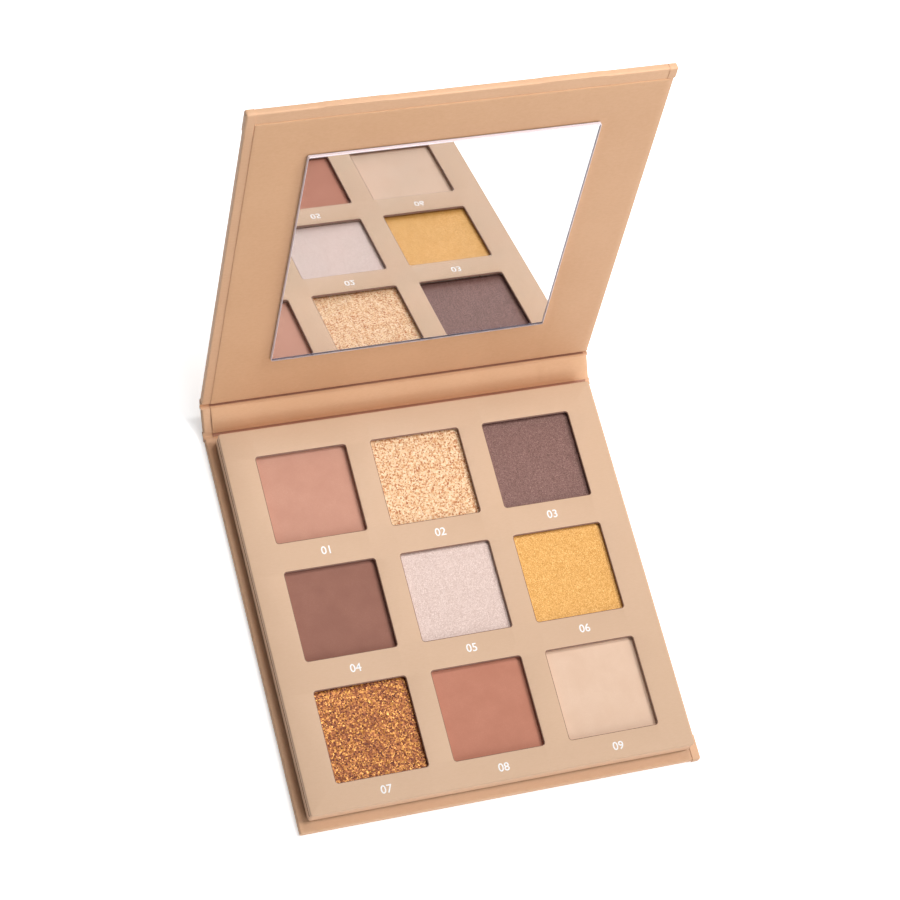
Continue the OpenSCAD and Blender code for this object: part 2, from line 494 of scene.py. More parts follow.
def sockets(
    group: bpy.types.NodeTree, inputs: dict[str, str], outputs: dict[str, str]
) -> tuple[bpy.types.Node, bpy.types.Node]:
    """Gives a node group its named inputs and outputs.

    Args:
        group: the node group.
        inputs, outputs: the kind of each socket, by name.

    Returns:
        The group's input and output nodes.
    """
    for name, kind in inputs.items():
        group.interface.new_socket(name, in_out="INPUT", socket_type="NodeSocket" + kind)
    for name, kind in outputs.items():
        group.interface.new_socket(name, in_out="OUTPUT", socket_type="NodeSocket" + kind)
    return group.nodes.new("NodeGroupInput"), group.nodes.new("NodeGroupOutput")


def build_paper_grain(group: bpy.types.NodeTree) -> None:
    """Coated paper: cloudy print, short fibres and a fine tooth.

    Args:
        group: the empty node group.
    """
    tree = Tree(group)
    given, out = sockets(
        group,
        {"Tone": "Color", "Shade": "Color", "Amount": "Float"},
        {"Color": "Color", "Roughness": "Float", "Height": "Float"},
    )
    place = tree.place()
    clouds = tree.noise(place, 22 * MM, 3.0, 0.55)
    stretched = tree.node("Mapping", {"Vector": place, "Scale": (1.0, 4.0, 2.0)}).outputs[0]
    fibres = tree.noise(stretched, 1.1 * MM, 3.0, 0.6)
    tooth = tree.noise(place, 0.22 * MM, 2.0, 0.6)
    mix = tree.maths("MULTIPLY_ADD", fibres, 0.45)
    group.links.new(tree.maths("MULTIPLY", clouds, 0.55), mix.node.inputs[2])
    share = tree.maths("MULTIPLY", tree.remap(mix, 0.38, 0.62, 0.0, 1.0), given.outputs["Amount"])
    colour = tree.node("Mix", {0: share}, data_type="RGBA")
    group.links.new(given.outputs["Tone"], colour.inputs[6])
    group.links.new(given.outputs["Shade"], colour.inputs[7])
    height = tree.maths("MULTIPLY_ADD", tooth, 0.5)
    group.links.new(tree.maths("MULTIPLY", fibres, 0.5), height.node.inputs[2])
    group.links.new(colour.outputs[2], out.inputs["Color"])
    group.links.new(tree.remap(fibres, 0.3, 0.7, 0.46, 0.58), out.inputs["Roughness"])
    group.links.new(height, out.inputs["Height"])


def build_fine_specks(group: bpy.types.NodeTree) -> None:
    """Small specks of a second colour, as in greyboard or pressed pigment.

    Args:
        group: the empty node group.
    """
    tree = Tree(group)
    given, out = sockets(
        group,
        {"Tone": "Color", "Speck": "Color", "Fineness": "Float", "Amount": "Float"},
        {"Color": "Color"},
    )
    place = tree.place()
    field_of_cells = tree.node("TexVoronoi", {"Vector": place})
    group.links.new(given.outputs["Fineness"], field_of_cells.inputs["Scale"])
    lone = tree.node("SeparateColor", {0: field_of_cells.outputs["Color"]}).outputs[0]
    mask = tree.maths("MULTIPLY", tree.remap(lone, 0.62, 0.95, 0.0, 1.0), given.outputs["Amount"])
    colour = tree.node("Mix", {0: mask}, data_type="RGBA")
    group.links.new(given.outputs["Tone"], colour.inputs[6])
    group.links.new(given.outputs["Speck"], colour.inputs[7])
    group.links.new(colour.outputs[2], out.inputs["Color"])


# ---- finishes ----


@dataclass(frozen=True)
class PaperFinish:
    """Matt-coated printed paper or card."""

    name: str
    tone: Colour
    shade: Colour
    amount: float = 0.55
    tooth: float = 0.012 * MM
    sheen: float = 0.12

    def material(self) -> bpy.types.Material:
        """Builds the material."""
        material, tree = new_material(self.name)
        grain = Pattern.PAPER.put(
            tree, {"Tone": opaque(self.tone), "Shade": opaque(self.shade), "Amount": self.amount}
        )
        close_material(
            tree,
            {
                "Base Color": grain.outputs["Color"],
                "Roughness": grain.outputs["Roughness"],
                "Normal": tree.bump(grain.outputs["Height"], self.tooth),
                "Specular IOR Level": 0.4,
                "Sheen Weight": self.sheen,
                "Sheen Roughness": 0.5,
            },
        )
        return material


@dataclass(frozen=True)
class BoardFinish:
    """Recycled greyboard: grey-brown pulp with lighter and darker fibres."""

    name: str
    tone: Colour
    speck: Colour
    fineness: float = 2600.0

    def material(self) -> bpy.types.Material:
        """Builds the material."""
        material, tree = new_material(self.name)
        specks = Pattern.SPECKS.put(
            tree,
            {
                "Tone": opaque(self.tone),
                "Speck": opaque(self.speck),
                "Fineness": self.fineness,
                "Amount": 0.6,
            },
        )
        pulp = tree.noise(tree.place(), 0.5 * MM, 4.0, 0.65)
        close_material(
            tree,
            {
                "Base Color": specks.outputs["Color"],
                "Roughness": tree.remap(pulp, 0.3, 0.7, 0.8, 0.95),
                "Normal": tree.bump(pulp, 0.03 * MM),
            },
        )
        return material


@dataclass(frozen=True)
class MetalFinish:
    """Thin stamped or plated metal with fine drawing lines."""

    name: str
    tone: Colour
    dull: Colour
    roughness: float = 0.32

    def material(self) -> bpy.types.Material:
        """Builds the material."""
        material, tree = new_material(self.name)
        place = tree.place()
        drawn = tree.node("Mapping", {"Vector": place, "Scale": (1.0, 12.0, 1.0)}).outputs[0]
        lines = tree.noise(drawn, 0.5 * MM, 3.0, 0.6)
        stains = tree.noise(place, 5 * MM, 3.0, 0.5)
        close_material(
            tree,
            {
                "Base Color": tree.blend(tree.remap(stains, 0.4, 0.7, 0.0, 0.8), self.tone, self.dull),
                "Metallic": 1.0,
                "Roughness": tree.remap(lines, 0.3, 0.7, self.roughness - 0.08, self.roughness + 0.1),
                "Normal": tree.bump(lines, 0.004 * MM),
            },
        )
        return material


@dataclass(frozen=True)
class FilmFinish:
    """Adhesive sheet or a dried dot of glue."""

    name: str
    tone: Colour
    cloud: Colour
    roughness: float

    def material(self) -> bpy.types.Material:
        """Builds the material."""
        material, tree = new_material(self.name)
        clouds = tree.noise(tree.place(), 2.5 * MM, 4.0, 0.6)
        close_material(
            tree,
            {
                "Base Color": tree.blend(tree.remap(clouds, 0.35, 0.65, 0.0, 1.0), self.tone, self.cloud),
                "Roughness": self.roughness,
                "Normal": tree.bump(clouds, 0.02 * MM),
                "Coat Weight": 0.2,
            },
        )
        return material


@dataclass(frozen=True)
class InkFinish:
    """Opaque printing ink, a little uneven."""

    name: str
    tone: Colour
    thin: Colour

    def material(self) -> bpy.types.Material:
        """Builds the material."""
        material, tree = new_material(self.name)
        cover = tree.noise(tree.place(), 0.35 * MM, 3.0, 0.6)
        close_material(
            tree,
            {
                "Base Color": tree.blend(tree.remap(cover, 0.45, 0.75, 0.0, 0.5), self.tone, self.thin),
                "Roughness": tree.remap(cover, 0.3, 0.7, 0.35, 0.5),
                "Normal": tree.bump(cover, 0.003 * MM),
            },
        )
        return material


@dataclass(frozen=True)
class ClearGlass:
    """Polished float glass."""

    name: str
    tint: Colour
    clear: Colour = (0.985, 0.985, 0.985)

    def material(self) -> bpy.types.Material:
        """Builds the material."""
        material, tree = new_material(self.name)
        film = tree.remap(tree.noise(tree.place(), 14 * MM, 2.0, 0.5), 0.4, 0.7, 0.0, 0.3)
        close_material(
            tree,
            {
                "Base Color": tree.blend(film, self.clear, self.tint),
                "Roughness": 0.0,
                "IOR": 1.5,
                "Transmission Weight": 1.0,
            },
        )
        return material


@dataclass(frozen=True)
class GroundGlass:
    """A ground, frosted glass edge; also the dark band of painted shade along the mirror's lower edge."""

    name: str
    tone: Colour
    streak: Colour

    def material(self) -> bpy.types.Material:
        """Builds the material."""
        material, tree = new_material(self.name)
        marks = tree.noise(tree.place(), 0.3 * MM, 3.0, 0.6)
        close_material(
            tree,
            {
                "Base Color": tree.blend(tree.remap(marks, 0.35, 0.7, 0.0, 1.0), self.tone, self.streak),
                "Roughness": tree.remap(marks, 0.3, 0.7, 0.3, 0.5),
                "Normal": tree.bump(marks, 0.006 * MM),
                "Specular IOR Level": 0.6,
            },
        )
        return material


@dataclass(frozen=True)
class SilverFinish:
    """The reflecting coat behind the glass."""

    name: str
    tone: Colour
    haze: Colour

    def material(self) -> bpy.types.Material:
        """Builds the material."""
        material, tree = new_material(self.name)
        haze = tree.noise(tree.place(), 30 * MM, 2.0, 0.5)
        close_material(
            tree,
            {
                "Base Color": tree.blend(tree.remap(haze, 0.4, 0.7, 0.0, 0.4), self.tone, self.haze),
                "Metallic": 1.0,
                "Roughness": 0.0,
            },
        )
        return material


@dataclass(frozen=True)
class PowderFinish:
    """One pressed powder: its kind and its colours, from dark to light."""

    name: str
    kind: PowderKind
    tones: tuple[Colour, ...]
    metallic: float = 0.0
    roughness: float = 0.9

    def material(self) -> bpy.types.Material:
        """Builds the material."""
        return self._matte() if self.kind is PowderKind.MATTE else self._flaky()

    def _matte(self) -> bpy.types.Material:
        """Fine pigment, pressed through cloth."""
        material, tree = new_material(self.name)
        place = tree.place()
        specks = Pattern.SPECKS.put(
            tree,
            {
                "Tone": opaque(self.tones[1]),
                "Speck": opaque(self.tones[2]),
                "Fineness": 7000.0,
                "Amount": 0.35,
            },
        )
        clouds = tree.noise(place, 6 * MM, 3.0, 0.55)
        grain = tree.noise(place, 0.16 * MM, 3.0, 0.7)
        share = tree.remap(clouds, 0.35, 0.65, 0.0, 0.5)
        close_material(
            tree,
            {
                "Base Color": tree.blend(share, specks.outputs["Color"], self.tones[0]),
                "Roughness": self.roughness,
                "Normal": tree.bump(grain, 0.03 * MM),
                "Specular IOR Level": 0.25,
                "Sheen Weight": 0.25,
                "Sheen Roughness": 0.6,
            },
        )
        return material

    def _flaky(self) -> bpy.types.Material:
        """Flakes that each have their own tone and gloss, kept in the mesh."""
        material, tree = new_material(self.name)
        own = tree.node("Attribute", attribute_name="flake").outputs["Fac"]
        last = len(self.tones) - 1
        stops = [(index / max(1, last), tone) for index, tone in enumerate(self.tones)]
        grain = tree.noise(tree.place(), 0.2 * MM, 2.0, 0.6)
        close_material(
            tree,
            {
                "Base Color": tree.ramp(own, stops),
                "Metallic": self.metallic,
                "Roughness": tree.remap(own, 0.0, 1.0, self.roughness + 0.15, self.roughness - 0.1),
                "Normal": tree.bump(grain, 0.02 * MM),
                "Specular IOR Level": 0.4,
            },
        )
        return material


COVER_PAPER = PaperFinish("cover_paper", paint(228, 183, 146), paint(218, 170, 132))
LINING_PAPER = PaperFinish("lining_paper", paint(225, 178, 138), paint(215, 166, 125))
TRAY_PAPER = PaperFinish("tray_paper", paint(234, 192, 158), paint(226, 182, 148))
FACE_CARD = PaperFinish("face_card", paint(216, 180, 149), paint(208, 171, 139), 0.45)
CUT_EDGE = PaperFinish("cut_card_edge", paint(172, 138, 128), paint(138, 104, 96), 0.7, 0.03 * MM)
# Painted shade: a dark line on the windows' sloping rims
WINDOW_RIM_SHADE = PaperFinish("window_rim_painted_shade", paint(142, 104, 86), paint(122, 86, 70), 0.7, 0.02 * MM)
# Painted shade: the dark tone in the tray walls' side seams and along their foot
TRAY_WALL_SHADE = PaperFinish("tray_wall_painted_shade", paint(150, 106, 80), paint(128, 88, 66), 0.8, 0.03 * MM)
# Painted shade: the darker tone deep in the lining's folds
CREASE_SHADE = PaperFinish("crease_painted_shade", paint(180, 130, 106), paint(160, 112, 90), 0.7)
GREYBOARD = BoardFinish("greyboard", paint(142, 128, 116), paint(190, 178, 164))
PAN_TIN = MetalFinish("pan_tin", paint(206, 204, 203), paint(170, 166, 164))
MAGNET_NICKEL = MetalFinish("magnet_nickel", paint(190, 188, 184), paint(150, 148, 146), 0.25)
TAPE = FilmFinish("adhesive_tape", paint(236, 232, 218), paint(222, 216, 198), 0.5)
GLUE = FilmFinish("dried_glue", paint(226, 208, 164), paint(206, 182, 130), 0.3)
WHITE_INK = InkFinish("white_ink", paint(252, 250, 250), paint(240, 228, 218))
CLEAR_GLASS = ClearGlass("mirror_glass", paint(244, 250, 250))
GROUND_GLASS = GroundGlass("ground_glass_edge", paint(246, 234, 236), paint(222, 212, 226))
# Painted shade: the dark band along the mirror's lower edge
MIRROR_EDGE_SHADE = GroundGlass("mirror_edge_painted_shade", paint(84, 86, 106), paint(112, 112, 132))
SILVER = SilverFinish("mirror_silver", paint(248, 248, 250), paint(242, 243, 248))
BACK_PAINT = BoardFinish("mirror_back_paint", paint(178, 178, 186), paint(196, 196, 204), 4000.0)

POWDERS = (
    PowderFinish(
        "powder_dusty_rose",
        PowderKind.MATTE,
        (paint(201, 145, 124), paint(210, 155, 133), paint(220, 170, 149)),
    ),
    PowderFinish(
        "powder_pale_gold_glitter",
        PowderKind.GLITTER,
        (
            paint(176, 100, 58),
            paint(212, 154, 104),
            paint(231, 192, 149),
            paint(237, 202, 160),
            paint(243, 213, 179),
        ),
        0.1,
        0.5,
    ),
    PowderFinish(
        "powder_smoky_shimmer",
        PowderKind.SHIMMER,
        (paint(98, 68, 62), paint(112, 78, 70), paint(121, 85, 77), paint(143, 104, 95)),
        0.15,
        0.5,
    ),
    PowderFinish(
        "powder_deep_brown",
        PowderKind.MATTE,
        (paint(146, 98, 83), paint(158, 108, 92), paint(172, 122, 106)),
    ),
    PowderFinish(
        "powder_pearl_shimmer",
        PowderKind.SHIMMER,
        (paint(200, 174, 163), paint(209, 184, 174), paint(215, 192, 183), paint(228, 206, 197)),
        0.1,
        0.5,
    ),
    PowderFinish(
        "powder_yellow_gold_shimmer",
        PowderKind.SHIMMER,
        (paint(188, 132, 58), paint(202, 147, 69), paint(211, 157, 81), paint(227, 176, 104)),
        0.2,
        0.45,
    ),
    PowderFinish(
        "powder_bronze_glitter",
        PowderKind.GLITTER,
        (
            paint(80, 30, 12),
            paint(118, 57, 24),
            paint(148, 83, 36),
            paint(174, 108, 44),
            paint(212, 150, 66),
        ),
        0.3,
        0.4,
    ),
    PowderFinish(
        "powder_terracotta",
        PowderKind.MATTE,
        (paint(191, 124, 100), paint(201, 134, 110), paint(213, 150, 126)),
    ),
    PowderFinish(
        "powder_soft_cream",
        PowderKind.MATTE,
        (paint(232, 195, 167), paint(239, 205, 179), paint(246, 216, 193)),
    ),
)

FILLS = (0.0, 0.2, 0.0, 0.0, 0.3, 0.3, 0.2, 0.1, 0.1)


# ---- the jointed case ----


@dataclass(frozen=True)
class CaseFrames:
    """The panels' frames at rest: the hinge axis on X, the middle plane at z 0, the length along +Y."""

    base: Matrix
    spine: Matrix
    lid: Matrix
    spine_angle: float
    lid_angle: float

    @classmethod
    def read(cls) -> "CaseFrames":
        """Reads the frames from the joints: each joint's lower limit is where the case lies flat."""
        joints = {joint["name"]: joint for joint in frame["joints"]}
        lower, upper = joints["spine_hinge"], joints["lid_hinge"]
        spine_angle = -math.radians(lower["range_deg"][0])
        lid_angle = -math.radians(upper["range_deg"][0])
        first = Matrix.Translation(lower["pos_m"])
        second = Matrix.Translation(upper["pos_m"])
        return cls(
            base=first @ Matrix.Rotation(math.pi, 4, "Z"),
            spine=first @ Matrix.Rotation(spine_angle, 4, "X"),
            lid=second @ Matrix.Rotation(spine_angle + lid_angle, 4, "X"),
            spine_angle=spine_angle,
            lid_angle=lid_angle,
        )


@dataclass(frozen=True)
class CornerFold:
    """Paper that overlaps at one of a panel's free corners."""

    side: str
    sign: int
    length: float
    slant: float
    thickness: float
    shift: float = 0.0


CORNER_FOLDS = (
    CornerFold("left", -1, 6.3 * MM, 0.35, 0.2 * MM),
    CornerFold("right", 1, 3.1 * MM, 0.1, 0.11 * MM, 0.3 * MM),
)


@dataclass
class CoverPanel:
    """One panel of the cover: wrapping paper with its turned-in flaps, and the lining on its inner face."""

    body: Body
    seat: Matrix
    closed_end: bool
    inner_bend: float = 0.5 * MM
    outer_bend: float = 0.45 * MM
    magnet_bend: float = 0.3 * MM
    magnet_push: float = 0.12 * MM
    magnet_step: float = 0.45 * MM
    corner: float = 0.4 * MM
    paper: float = 0.2 * MM
    turn_in: float = 13.0 * MM
    dip: float = 0.17 * MM
    slope: float = 0.7 * MM
    groove: float = 0.4
    groove_start: float = 0.5 * MM
    groove_end: tuple[float, float] = (2.2 * MM, 0.6 * MM)
    ridge: float = 0.0
    fold_width: float = 2.1 * MM
    fold_lift: float = 0.3 * MM
    lining_edge: float = 0.06 * MM
    air: float = 0.01 * MM
    magnets: tuple[str, ...] = ()
    folds: tuple[str, ...] = ("left", "right")
    spare: float = 3.0 * MM

    def __post_init__(self) -> None:
        """Reads the panel's outline."""
        self.low, self.high = box_in(f"{self.body.value}_wrap", self.seat)

    def build(self, paper: bpy.types.Material, lining: bpy.types.Material) -> None:
        """Builds the panel's pieces.

        Args:
            paper: the wrap's material.
            lining: the lining's material.
        """
        name = self.body.value
        skin = self._skin()
        folds = self._corner_folds(skin)
        self._open_inner_face(skin)
        bmesh.ops.solidify(skin, geom=skin.faces[:], thickness=self.paper)
        piece = make_piece(f"{name}_cover_paper", skin, [paper], self.seat)
        settle(piece, self.body, [f"{name}_wrap"])
        for side, fold in folds.items():
            piece = make_piece(f"{name}_corner_fold_{side}", fold, [paper], self.seat)
            settle(piece, self.body, ())
        piece = make_piece(f"{name}_lining", self._lining(), [lining], self.seat)
        settle(piece, self.body, [f"{name}_liner"])

    def _skin(self) -> bmesh.types.BMesh:
        """The outer surface of the wrapped board, open at its hinged ends."""
        bm = bmesh.new()
        spare = Vector((0.0, self.spare, 0.0))
        block(bm, self.low - spare, self.high + (Vector() if self.closed_end else spare))
        if self.closed_end:
            ends = [e for e in upright_edges(bm) if e.verts[0].co.y > self.high.y - TOUCH]
            ease_edges(bm, ends, self.corner, 6)
        for x in self._stations():
            slice_at(bm, (x, 0, 0), (1, 0, 0))
        for height, bend in ((self.low.z, self.outer_bend), (self.high.z, self.inner_bend)):
            bm.normal_update()
            edges = level_edges(bm, height, self._not_at_hinge)
            ease_edges(bm, edges, bend, 5)
        slice_at(bm, self.low, (0, -1, 0), drop=True)
        if not self.closed_end:
            slice_at(bm, self.high, (0, 1, 0), drop=True)
        for vert in bm.verts:
            self._press_over_magnets(vert)
        bm.normal_update()
        return bm

    def _not_at_hinge(self, edge: bmesh.types.BMEdge) -> bool:
        """Whether an edge isn't at an open end of the panel.

        Args:
            edge: an edge of the skin.

        Returns:
            True unless both its ends lie at the same open end.
        """
        ends = [self.low.y - self.spare]
        if not self.closed_end:
            ends.append(self.high.y + self.spare)
        return not any(all(abs(v.co.y - end) < TOUCH for v in edge.verts) for end in ends)

    def _magnet_spans(self) -> list[tuple[float, float]]:
        """Where the magnets start and end along X."""
        boxes = [box_in(node, self.seat) for node in self.magnets]
        return [(low.x, high.x) for low, high in boxes]

    def _stations(self) -> list[float]:
        """The places along X where the skin gets a row of vertices."""
        found = []
        for start, end in self._magnet_spans():
            for step in range(-3, 4):
                found.append(start + step * self.magnet_step)
                found.append(end + step * self.magnet_step)
        return found

    def _press_over_magnets(self, vert: bmesh.types.BMVert) -> None:
        """Lets a magnet press the paper outwards, so that its edge is sharper there.

        Args:
            vert: a vertex of the skin.
        """
        reach = 3 * self.magnet_step
        share = 0.0
        for start, end in self._magnet_spans():
            begun = smooth(vert.co.x, start - reach, start + reach)
            ended = smooth(vert.co.x, end - reach, end + reach)
            share = max(share, begun * (1 - ended))
        if share <= 0.0 or vert.co.y < self.high.y - self.inner_bend - TOUCH:
            return
        rounding = Vector((vert.co.x, self.high.y - self.inner_bend, self.high.z - self.inner_bend))
        if vert.co.z > rounding.z - TOUCH:
            step = self.inner_bend - self.magnet_bend
            arm = vert.co - rounding
            moved = rounding + Vector((0, step, step)) + arm * (self.magnet_bend / self.inner_bend)
            vert.co = vert.co.lerp(moved, share)
        vert.co.y += self.magnet_push * share

    def _open_inner_face(self, bm: bmesh.types.BMesh) -> None:
        """Takes the paper away between the flaps, where the board is bare.

        Args:
            bm: the skin.
        """
        half = self.high.x - self.turn_in
        front = self.high.y - self.turn_in if self.closed_end else self.high.y + self.spare
        for side in (-1, 1):
            slice_at(bm, (side * half, 0, 0), (1, 0, 0))
        if self.closed_end:
            slice_at(bm, (0, front, 0), (0, 1, 0))
        bm.normal_update()
        bare = []
        for face in bm.faces:
            middle = face.calc_center_median()
            if face.normal.z > LEVEL and abs(middle.x) < half and middle.y < front:
                bare.append(face)
        bmesh.ops.delete(bm, geom=bare, context="FACES")

    def _corner_folds(self, skin: bmesh.types.BMesh) -> dict[str, bmesh.types.BMesh]:
        """The paper that overlaps at the two free corners.

        Args:
            skin: the panel's outer surface, which is copied.

        Returns:
            The meshes by side, none for a panel without free corners.
        """
        if not self.closed_end:
            return {}
        folds = {}
        for fold in CORNER_FOLDS:
            if fold.side not in self.folds:
                continue
            bm = skin.copy()
            edge = fold.sign * self.high.x
            strip = edge - fold.sign * self.fold_width
            start = self.high.y - fold.length
            slice_at(bm, (strip, 0, 0), (-fold.sign, 0, 0), drop=True)
            slice_at(bm, (edge, start, 0), (fold.sign * fold.slant, -1, 0), drop=True)
            slice_at(bm, (0, 0, self.low.z + self.fold_lift), (0, 0, -1), drop=True)
            bmesh.ops.solidify(bm, geom=bm.faces[:], thickness=-fold.thickness)
            bmesh.ops.translate(bm, vec=(fold.shift, 0, 0), verts=bm.verts[:])
            folds[fold.side] = bm
        return folds

    def _lining(self) -> bmesh.types.BMesh:
        """The lining: it lies on the flaps and sinks softly onto the board between them."""
        low, high = box_in(f"{self.body.value}_liner", self.seat)
        bm = bmesh.new()
        size, middle = high - low, (high + low) / 2
        columns, rows = max(2, round(size.x / MM)), max(2, round(size.y / MM))
        bmesh.ops.create_grid(bm, x_segments=columns, y_segments=rows, size=0.5)
        bmesh.ops.scale(bm, vec=(size.x, size.y, 1.0), verts=bm.verts)
        bmesh.ops.translate(bm, vec=(middle.x, middle.y, high.z), verts=bm.verts)
        for vert in bm.verts:
            inside = self.high.x - self.turn_in - abs(vert.co.x)
            if self.closed_end:
                inside = min(inside, self.high.y - self.turn_in - vert.co.y)
            vert.co.z -= self.dip * self._sunk(inside)
            along = min(vert.co.y - low.y, high.y - vert.co.y) / size.y * 2.0
            vert.co.z += self.ridge * smooth(along, 0.1, 1.0)
        bmesh.ops.solidify(bm, geom=bm.faces[:], thickness=self.paper - self.air)
        bm.normal_update()
        rim = [
            e
            for e in bm.edges
            if len(e.link_faces) == 2
            and sum(f.normal.z > LEVEL for f in e.link_faces) == 1
            and sum(abs(f.normal.z) < UPRIGHT for f in e.link_faces) == 1
        ]
        ease_edges(bm, rim, self.lining_edge, 2)
        return bm

    def _sunk(self, inside: float) -> float:
        """How far the lining lies below the flaps' level.

        Args:
            inside: how far a place is past the flaps' edge, negative on a flap.

        Returns:
            The depth as a share of the dip: a step down to the board, and a soft groove beside it.
        """
        step = smooth(inside, 0.0, self.slope)
        groove = smooth(-inside, *self.groove_end) * smooth(-inside, 0.0, self.groove_start)
        return step + self.groove * groove


@dataclass
class PaperHinge:
    """The paper between two panels: the wrap, pressed in from outside, and the lining, folded in."""

    name: str
    before: Body
    after: Body
    seat: Matrix
    angle: float
    gap: float
    outer: float
    flap: float
    inner: float
    outer_depth: float = 0.25 * MM
    inner_depth: float = 0.5 * MM
    crease: float = 0.55
    roll: float = 0.12 * MM
    knuckle: float = 0.2 * MM
    paper: float = 0.2 * MM
    air: float = 0.01 * MM
    steps: int = 10

    def _corner(self, height: float, after: bool) -> Vector:
        """Where a panel's surface of that height ends at the joint.

        Args:
            height: the surface's height over the panel's middle plane.
            after: whether it is the panel after the joint.

        Returns:
            The point, in the plane across the hinge.
        """
        if not after:
            return Vector((0.0, -self.gap, height))
        return Matrix.Rotation(self.angle, 3, "X") @ Vector((0.0, self.gap, height))

    def _line(self, height: float, apex: float) -> list[Vector]:
        """A soft line from one panel's surface into the fold and out to the other's.

        Args:
            height: the surfaces' height over their middle planes.
            apex: how far the fold's deepest point is from the hinge's axis.

        Returns:
            The points of the line.
        """
        half = Matrix.Rotation(self.angle / 2, 3, "X")
        deepest = half @ Vector((0.0, 0.0, apex))
        along = half @ Vector((0.0, self.roll, 0.0))
        first, last = self._corner(height, False), self._corner(height, True)
        leave = first + Vector((0.0, self.roll, 0.0))
        arrive = last - Matrix.Rotation(self.angle, 3, "X") @ Vector((0.0, self.roll, 0.0))
        one = self._curve(first, leave, deepest - along, deepest)
        two = self._curve(deepest, deepest + along, arrive, last)
        return one + two[1:]

    def _curve(self, a: Vector, b: Vector, c: Vector, d: Vector) -> list[Vector]:
        """Points along a cubic curve.

        Args:
            a, b, c, d: its start, its two handles and its end.

        Returns:
            The points, both ends included.
        """
        points = []
        for step in range(self.steps + 1):
            t = step / self.steps
            s = 1.0 - t
            points.append(a * s**3 + b * 3 * s * s * t + c * 3 * s * t * t + d * t**3)
        return points

    def _strip(self, outline: list[Vector], x0: float, x1: float, knuckle: float) -> bmesh.types.BMesh:
        """A closed strip of that cross-section along the hinge.

        Args:
            outline: the corners of the cross-section.
            x0, x1: where the strip starts and ends.
            knuckle: how far its folded ends swell out.

        Returns:
            Its mesh.
        """
        bm = bmesh.new()
        corners = [bm.verts.new(self.seat @ Vector((x0, p.y, p.z))) for p in outline]
        face = bm.faces.new(corners)
        across = self.seat.to_3x3() @ Vector((1.0, 0.0, 0.0))
        made = bmesh.ops.extrude_face_region(bm, geom=[face])
        ring = [g for g in made["geom"] if isinstance(g, bmesh.types.BMVert)]
        bmesh.ops.translate(bm, vec=across * (x1 - x0), verts=ring)
        bmesh.ops.recalc_face_normals(bm, faces=bm.faces)
        if knuckle > 0.0:
            for sign in (-1, 1):
                self._swell_end(bm, across * sign, knuckle)
        return bm

    def _swell_end(self, bm: bmesh.types.BMesh, outwards: Vector, knuckle: float) -> None:
        """Rounds one end of a strip, where the wrap is folded over.

        Args:
            bm: the strip.
            outwards: the end's direction.
            knuckle: how far it swells out.
        """
        bm.normal_update()
        ends = [f for f in bm.faces if f.normal.dot(outwards) > LEVEL]
        cap = max(ends, key=lambda f: f.calc_center_median().dot(outwards))
        for rise, shrink in ((0.7, 0.93), (0.3, 0.72)):
            made = bmesh.ops.extrude_face_region(bm, geom=[cap])
            faces = [g for g in made["geom"] if isinstance(g, bmesh.types.BMFace)]
            verts = [g for g in made["geom"] if isinstance(g, bmesh.types.BMVert)]
            bmesh.ops.delete(bm, geom=[cap], context="FACES_ONLY")
            cap = faces[0]
            middle = cap.calc_center_median()
            bmesh.ops.scale(bm, vec=(1.0, shrink, shrink), verts=verts, space=Matrix.Translation(-middle))
            bmesh.ops.translate(bm, vec=outwards * knuckle * rise, verts=verts)

    def _shade_crease(self, sheet: bmesh.types.BMesh, depth: float) -> None:
        """Paints shade, as a darker tone, on the fold's deepest part.

        Args:
            sheet: the lining's strip.
            depth: how deep the fold is.
        """
        out = self.seat @ (Matrix.Rotation(self.angle / 2, 3, "X") @ Vector((0.0, 0.0, 1.0)))
        axis = self.seat.translation
        deepest = self.inner_depth + self.crease * depth
        sheet.normal_update()
        for face in sheet.faces:
            if (face.calc_center_median() - axis).dot((out - axis).normalized()) < deepest:
                face.material_index = 1

    def build(
        self,
        paper: bpy.types.Material,
        lining: bpy.types.Material,
        half_width: float,
        lining_span: tuple[float, float],
        stands_for: str,
    ) -> None:
        """Builds the hinge's two papers.

        Args:
            paper, lining: the two materials.
            half_width: half the cover's width.
            lining_span: where the lining starts and ends along X.
            stands_for: the CAD node of the fold.
        """
        outside = self._line(self.outer, -self.outer_depth)
        inside = self._line(self.flap, self.inner_depth - self.paper)
        wrap = self._strip(outside + inside[::-1], -half_width, half_width, self.knuckle)
        under = self._line(self.flap + self.air, self.inner_depth - self.paper + self.air)
        over = self._line(self.inner, self.inner_depth)
        sheet = self._strip(under + over[::-1], *lining_span, 0.0)
        self._shade_crease(sheet, 0.5 * (over[0] + over[-1]).length - over[self.steps].length)
        # the second finish is painted shade for the deepest part of the fold
        lining_and_crease_shade = [lining, CREASE_SHADE.material()]
        parts = (
            ("paper", wrap, [paper], "cover_paper", (stands_for,)),
            ("lining", sheet, lining_and_crease_shade, "lining_paper", ()),
        )
        for kind, mesh, finishes, slot, nodes in parts:
            piece = make_piece(f"{self.name}_hinge_{kind}", mesh, finishes)
            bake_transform(piece)
            register(piece, nodes)


